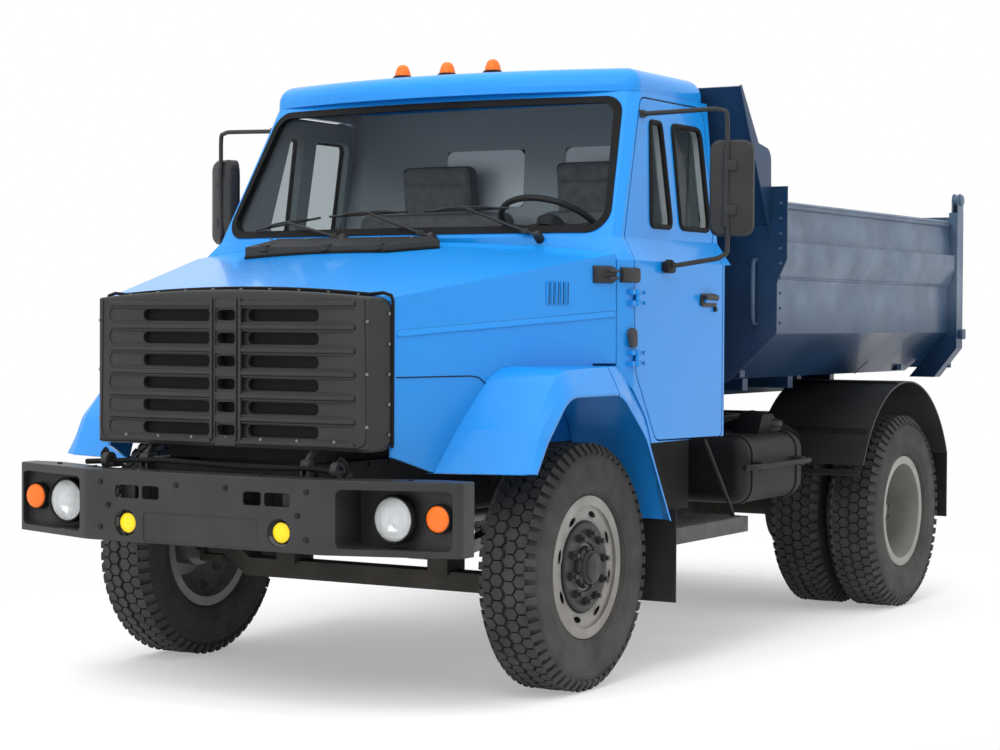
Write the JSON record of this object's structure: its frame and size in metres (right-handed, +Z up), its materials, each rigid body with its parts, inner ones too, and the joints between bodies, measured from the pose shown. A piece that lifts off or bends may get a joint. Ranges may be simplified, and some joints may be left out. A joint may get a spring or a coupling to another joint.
{
  "type": "bonneted tipper truck",
  "caption": "Two-axle bonneted tipper truck with hollow cab, opening doors, forward-tilting hood, steered front wheels, twin rear wheels, tipping bed, canopy, tailgate and telescopic hoist.",
  "frame": {"origin": "on the ground, under the middle of the vehicle's length and width", "axes": "+X to the truck's left, +Y to its rear (the cab faces -Y), +Z up"},
  "size_m": [2.8986, 5.38, 2.672],
  "materials": {
    "cab_paint": "gloss",
    "bed_paint": "satin",
    "chassis_black": "satin",
    "black_plastic": "matt",
    "rubber": "matt",
    "tyre": "matt",
    "rim_front": "satin",
    "rim_rear": "satin",
    "steel": "worn",
    "cast": "rough",
    "aluminium": "satin",
    "chrome": "polished",
    "clear_glass": "clear",
    "amber": "clear",
    "yellow": "clear",
    "red": "clear",
    "seat_cloth": "woven",
    "trim": "grained"
  },
  "bodies": {
    "chassis": {"frame": "chassis_black", "bumper": "black_plastic", "headlamps": "clear_glass", "turn_lamps": "amber", "fog_lamps": "yellow", "front_axle": "cast", "springs": "steel", "rear_axle": "cast", "engine": "cast", "radiator": "chassis_black", "drive_shaft": "steel", "silencer": "steel", "fuel_tank": "chassis_black", "side_boxes": "chassis_black", "steps": "steel", "air_tanks": "chassis_black", "rear_fenders": "black_plastic", "mud_flaps": "rubber", "tail_lamps": "red", "wings_rear": "cab_paint", "cab_shell": "cab_paint", "cab_roof": "cab_paint", "cab_glass": "clear_glass", "screen_seal": "rubber", "roof_lamps": "amber", "wipers": "black_plastic", "dashboard": "trim", "seats": "seat_cloth", "steering_wheel": "trim"},
    "wheel_front_left": {"tyre_front_left": "tyre", "rim_front_left": "rim_front"},
    "wheel_front_right": {"tyre_front_right": "tyre", "rim_front_right": "rim_front"},
    "wheels_rear_left": {"tyres_rear_left": "tyre", "rims_rear_left": "rim_rear"},
    "wheels_rear_right": {"tyres_rear_right": "tyre", "rims_rear_right": "rim_rear"},
    "knuckle_left": {"knuckle_left": "cast"},
    "knuckle_right": {"knuckle_right": "cast"},
    "door_left": {"door_left": "cab_paint", "door_glass_left": "clear_glass", "mirror_left": "black_plastic"},
    "door_right": {"door_right": "cab_paint", "door_glass_right": "clear_glass", "mirror_right": "black_plastic"},
    "hood": {"hood_shell": "cab_paint", "wings_front": "cab_paint", "grille": "black_plastic", "air_scoop": "black_plastic"},
    "bed": {"bed_tub": "bed_paint", "bed_beams": "bed_paint", "bed_front_wall": "bed_paint", "bed_posts": "bed_paint"},
    "tailgate": {"tailgate": "bed_paint"},
    "hoist_barrel": {"hoist_barrel": "steel"},
    "hoist_stage_one": {"hoist_stage_one": "chrome"},
    "hoist_stage_two": {"hoist_stage_two": "chrome"},
    "hoist_stage_three": {"hoist_stage_three": "chrome"}
  },
  "joints": [
    {"name": "steer_left", "type": "hinge", "parent": "chassis", "child": "knuckle_left", "pos_m": [0.8, -1.525, 0.505], "axis": [0, 0, 1], "range_deg": [-32, 32]},
    {"name": "steer_right", "type": "hinge", "parent": "chassis", "child": "knuckle_right", "pos_m": [-0.8, -1.525, 0.505], "axis": [0, 0, 1], "range_deg": [-32, 32]},
    {"name": "roll_front_left", "type": "hinge", "parent": "knuckle_left", "child": "wheel_front_left", "pos_m": [0.965, -1.525, 0.505], "axis": [1, 0, 0], "continuous": true},
    {"name": "roll_front_right", "type": "hinge", "parent": "knuckle_right", "child": "wheel_front_right", "pos_m": [-0.965, -1.525, 0.505], "axis": [1, 0, 0], "continuous": true},
    {"name": "roll_rear_left", "type": "hinge", "parent": "chassis", "child": "wheels_rear_left", "pos_m": [0.925, 1.775, 0.505], "axis": [1, 0, 0], "continuous": true},
    {"name": "roll_rear_right", "type": "hinge", "parent": "chassis", "child": "wheels_rear_right", "pos_m": [-0.925, 1.775, 0.505], "axis": [1, 0, 0], "continuous": true},
    {"name": "door_left_swing", "type": "hinge", "parent": "chassis", "child": "door_left", "pos_m": [1.133, -1.216, 1.478], "axis": [0, 0, -1], "range_deg": [0, 68]},
    {"name": "door_right_swing", "type": "hinge", "parent": "chassis", "child": "door_right", "pos_m": [-1.133, -1.216, 1.478], "axis": [0, 0, 1], "range_deg": [0, 68]},
    {"name": "hood_tilt", "type": "hinge", "parent": "chassis", "child": "hood", "pos_m": [0, -2.535, 0.95], "axis": [1, 0, 0], "range_deg": [0, 50]},
    {"name": "bed_tilt", "type": "hinge", "parent": "chassis", "child": "bed", "pos_m": [0, 2.435, 1.05], "axis": [-1, 0, 0], "range_deg": [0, 50]},
    {"name": "tailgate_swing", "type": "hinge", "parent": "bed", "child": "tailgate", "pos_m": [0, 2.62, 2.19], "axis": [1, 0, 0], "range_deg": [0, 60]},
    {"name": "hoist_swing", "type": "hinge", "parent": "chassis", "child": "hoist_barrel", "pos_m": [0, 1.065, 0.715], "axis": [-1, 0, 0], "range_deg": [0, 12.33]},
    {"name": "hoist_slide_stage_one", "type": "slide", "parent": "hoist_barrel", "child": "hoist_stage_one", "axis": [0, 0.234, 0.9722], "range_m": [0, 0.3539]},
    {"name": "hoist_slide_stage_two", "type": "slide", "parent": "hoist_stage_one", "child": "hoist_stage_two", "axis": [0, 0.234, 0.9722], "range_m": [0, 0.3539]},
    {"name": "hoist_slide_stage_three", "type": "slide", "parent": "hoist_stage_two", "child": "hoist_stage_three", "axis": [0, 0.234, 0.9722], "range_m": [0, 0.3539]}
  ],
  "couplings": [
    {"joint": "steer_right", "follows": "steer_left", "ratio": 1},
    {"joint": "hoist_swing", "follows": "bed_tilt", "ratio": 0.23659},
    {"joint": "hoist_slide_stage_one", "follows": "bed_tilt", "m_per_rad": 0.40323},
    {"joint": "hoist_slide_stage_two", "follows": "bed_tilt", "m_per_rad": 0.40323},
    {"joint": "hoist_slide_stage_three", "follows": "bed_tilt", "m_per_rad": 0.40323}
  ]
}
